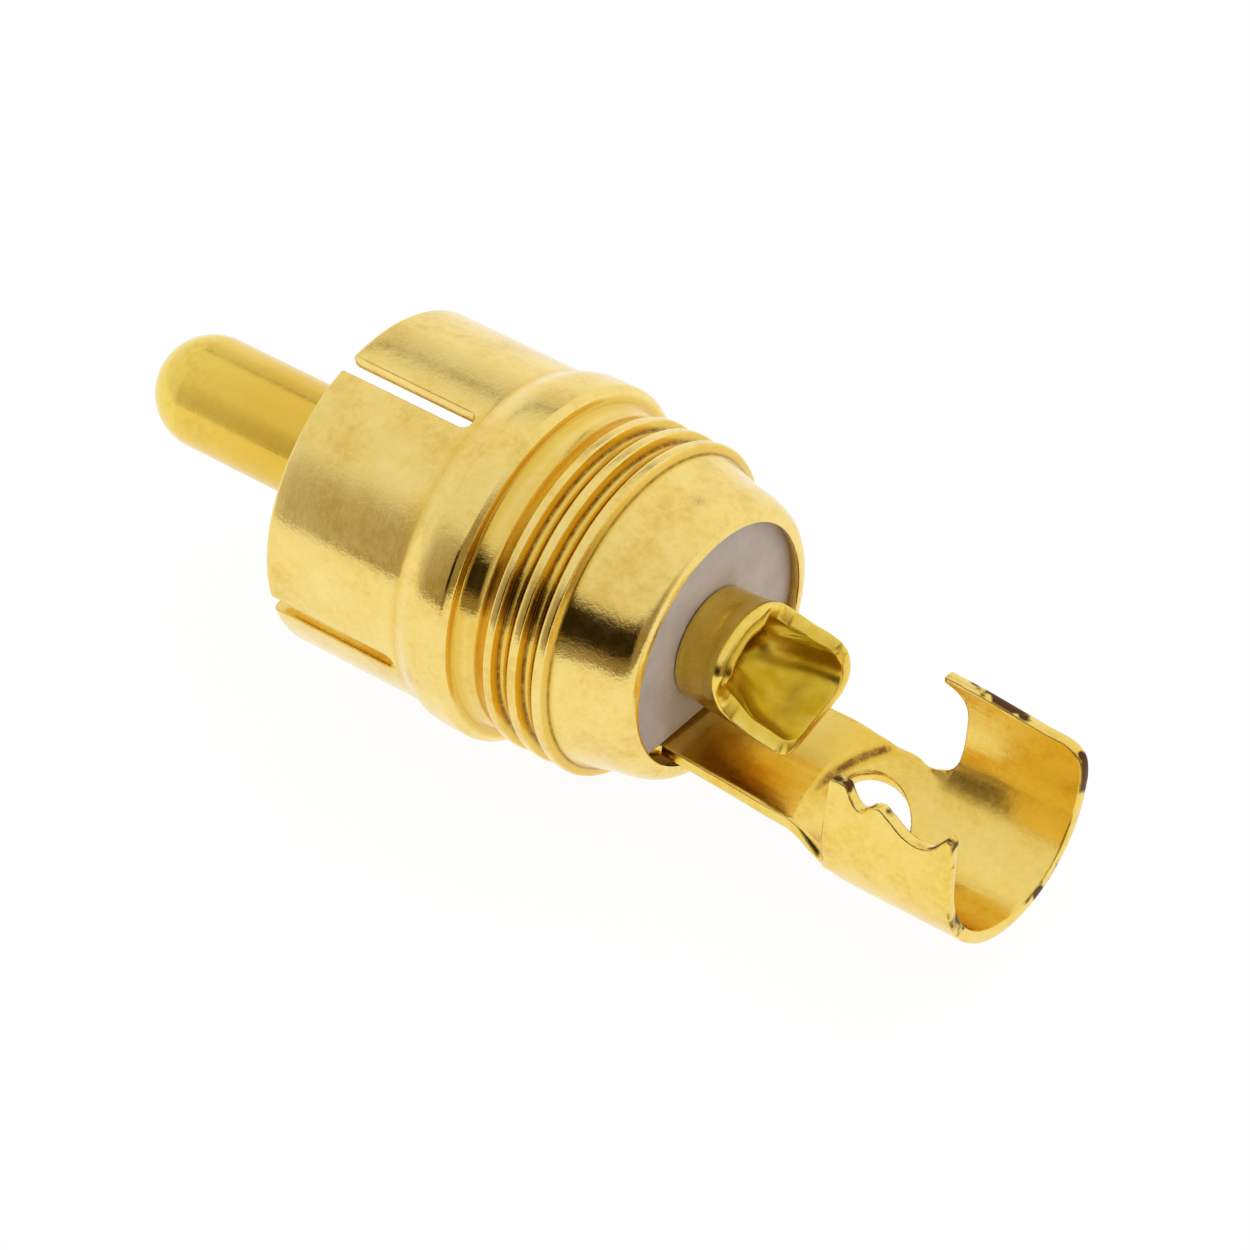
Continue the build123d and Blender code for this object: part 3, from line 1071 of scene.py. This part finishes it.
def stage_plane(name, size, material):
    mesh = bpy.data.meshes.new(name)
    half = size / 2 * MM
    mesh.from_pydata(
        [(-half, -half, 0), (half, -half, 0), (half, half, 0), (-half, half, 0)],
        [],
        [(0, 1, 2, 3)],
    )
    mesh.materials.append(material)
    plane = bpy.data.objects.new(name, mesh)
    bpy.context.scene.collection.objects.link(plane)
    return plane


def direction(azimuth, elevation):
    return Vector(
        (
            math.cos(math.radians(elevation)) * math.cos(math.radians(azimuth)),
            math.cos(math.radians(elevation)) * math.sin(math.radians(azimuth)),
            math.sin(math.radians(elevation)),
        )
    )


def facing(azimuth, elevation):
    """Rotation whose Z points away from the object in a direction, with Y upwards."""
    back = direction(azimuth, elevation)
    right = Vector((0, 0, 1)).cross(back).normalized()
    return Matrix((right, back.cross(right), back)).transposed().to_4x4()


def build_camera():
    data = bpy.data.cameras.new("camera")
    data.lens = view_lens
    data.sensor_width = 36.0
    data.clip_start = 0.01
    camera = bpy.data.objects.new("camera", data)
    bpy.context.scene.collection.objects.link(camera)
    turn = facing(view_azimuth, view_elevation)
    place = turn @ Vector((view_right * MM, view_up * MM, view_distance * MM))
    camera.matrix_world = Matrix.Translation(place) @ turn
    bpy.context.scene.camera = camera


def build_floor():
    """Pale floor that glows a little of itself, so only a faint shadow is left on it."""
    nodes = Nodes("pale_floor")
    shader = nodes.shader
    shader.inputs["Base Color"].default_value = (floor_tone, floor_tone, floor_tone, 1)
    shader.inputs["Roughness"].default_value = 0.9
    shader.inputs["Specular IOR Level"].default_value = 0.0
    shader.inputs["Emission Color"].default_value = (1, 1, 1, 1)
    shader.inputs["Emission Strength"].default_value = floor_glow
    floor = stage_plane("floor", floor_size, nodes.material)
    floor.location.z = cad_box[0][2] - floor_gap * MM


def build_card(name, radius, span, rise, fades, strength, glow):
    """Curved card standing round the part, seen only by the polished metal.

    span and rise are its first and last azimuth and elevation, fades the widths over which
    its two ends and its top run out, strength its opacity and glow its colour.
    """
    foot = cad_box[0][2] / MM - floor_gap
    bottom = max(foot, radius * math.tan(math.radians(rise[0])))
    top = radius * math.tan(math.radians(rise[1]))
    points, shades, faces = [], [], []
    for column in range(card_columns + 1):
        azimuth = blend(span[0], span[1], column / card_columns)
        side = ease(azimuth, span[0], span[0] + fades[0])
        side *= 1 - ease(azimuth, span[1] - fades[0], span[1])
        for row in range(card_rows + 1):
            height = blend(bottom, top, row / card_rows)
            elevation = math.degrees(math.atan2(height, radius))
            end = 1 - ease(elevation, rise[1] - fades[1], rise[1])
            if rise[0] > 0:
                end *= ease(elevation, rise[0], rise[0] + fades[1])
            points.append(
                (
                    (card_middle + radius * math.cos(math.radians(azimuth))) * MM,
                    radius * math.sin(math.radians(azimuth)) * MM,
                    height * MM,
                )
            )
            shades.append(strength * side * end)
    for column in range(card_columns):
        for row in range(card_rows):
            corner = column * (card_rows + 1) + row
            beside = corner + card_rows + 1
            faces.append((corner, beside, beside + 1, corner + 1))
    mesh = bpy.data.meshes.new(name)
    mesh.from_pydata(points, [], faces)
    mesh.attributes.new("shade", "FLOAT", "POINT").data.foreach_set("value", shades)
    nodes = Nodes(name)
    shader = nodes.shader
    shader.inputs["Base Color"].default_value = (0, 0, 0, 1)
    shader.inputs["Roughness"].default_value = 1.0
    shader.inputs["Specular IOR Level"].default_value = 0.0
    shader.inputs["Emission Color"].default_value = (*glow, 1)
    shader.inputs["Emission Strength"].default_value = 1.0
    nodes.link(nodes.attribute("shade"), shader.inputs["Alpha"])
    mesh.materials.append(nodes.material)
    card = bpy.data.objects.new(name, mesh)
    bpy.context.scene.collection.objects.link(card)
    card.visible_camera = False


def build_world():
    """Soft light from all round, a little stronger from the far side."""
    world = bpy.data.worlds.new("studio")
    bpy.context.scene.world = world
    world.use_nodes = True
    tree = world.node_tree
    background = tree.nodes["Background"]
    background.inputs["Color"].default_value = (1, 1, 1, 1)
    coordinates = tree.nodes.new("ShaderNodeTexCoord")
    split = tree.nodes.new("ShaderNodeSeparateXYZ")
    spread = tree.nodes.new("ShaderNodeMapRange")
    spread.inputs["From Min"].default_value = -0.3
    spread.inputs["From Max"].default_value = 0.8
    spread.inputs["To Min"].default_value = world_near
    spread.inputs["To Max"].default_value = world_far
    tree.links.new(coordinates.outputs["Generated"], split.inputs["Vector"])
    tree.links.new(split.outputs["Y"], spread.inputs["Value"])
    tree.links.new(spread.outputs["Result"], background.inputs["Strength"])
    bpy.context.scene.view_settings.view_transform = "Standard"


build_world()
build_camera()
build_floor()
for name, radius, span, rise, fades, strength, glow in CARDS:
    build_card(name, radius, span, rise, fades, strength, glow)

shell_gold = plated("shell_gold", SHELL_TONES, (1.0, 0.06, 0.06), 0.09, 0.003)
pin_gold = plated(
    "pin_gold", PIN_TONES, (1.0, 0.06, 0.06), 0.11, 0.002, cut_and_shade_colour=MOUTH_SHADE, patches=(0.1, 0.6)
)
lug_gold = plated("lug_gold", LUG_TONES, (0.08, 1.0, 1.0), 0.14, 0.0015, streak_depth=0.012)
grey_plastic = moulded("grey_plastic", (0.63, 0.55, 0.50), (0.50, 0.43, 0.39), 0.006, 0.6)
white_plastic = moulded("white_plastic", (0.80, 0.78, 0.72), (0.70, 0.68, 0.62), 0.004, 0.5)

build_shell(shell_gold)
build_pin(pin_gold)
build_lug(lug_gold)
build_washer(grey_plastic)
build_bush(white_plastic)
